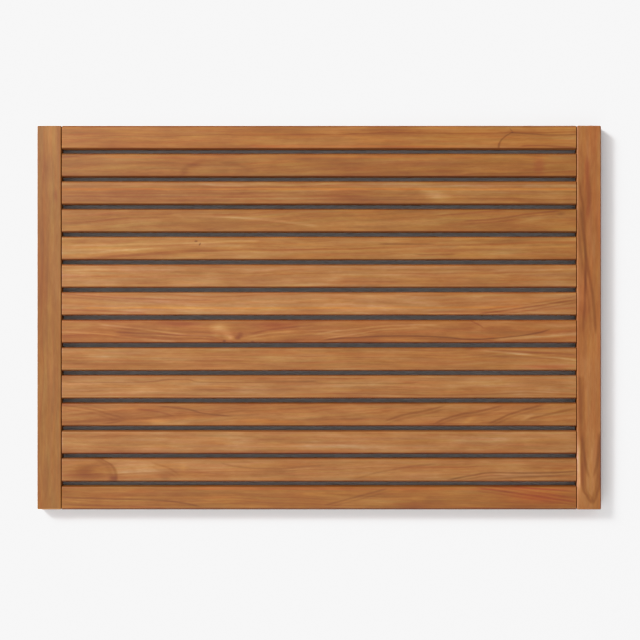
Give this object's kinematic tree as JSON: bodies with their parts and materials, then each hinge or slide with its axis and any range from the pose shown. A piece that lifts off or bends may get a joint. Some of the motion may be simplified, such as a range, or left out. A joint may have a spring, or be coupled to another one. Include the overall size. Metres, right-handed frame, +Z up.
{
  "type": "bath mat",
  "caption": "Rigid slatted wooden bath mat: slats run the long way between two end rails on rubber feet, with drainage gaps between the slats.",
  "frame": {"origin": "on the floor, under the middle of the mat", "axes": "+X along the slats (the long way), +Y towards the back edge, +Z up out of the standing surface"},
  "size_m": [0.6, 0.4084, 0.03],
  "materials": {
    "teak": "oiled, satin",
    "dowel_wood": "raw",
    "foot_rubber": "matte",
    "screw_steel": "satin"
  },
  "bodies": {
    "root": {"end_rail_left": "teak", "end_rail_right": "teak", "slat_01": "teak", "slat_02": "teak", "slat_03": "teak", "slat_04": "teak", "slat_05": "teak", "slat_06": "teak", "slat_07": "teak", "slat_08": "teak", "slat_09": "teak", "slat_10": "teak", "slat_11": "teak", "slat_12": "teak", "slat_13": "teak", "slat_14": "teak", "dowels_left": "dowel_wood", "dowels_right": "dowel_wood", "foot_left_1": "foot_rubber", "foot_left_2": "foot_rubber", "foot_left_3": "foot_rubber", "foot_right_1": "foot_rubber", "foot_right_2": "foot_rubber", "foot_right_3": "foot_rubber", "foot_screws": "screw_steel"}
  },
  "joints": []
}
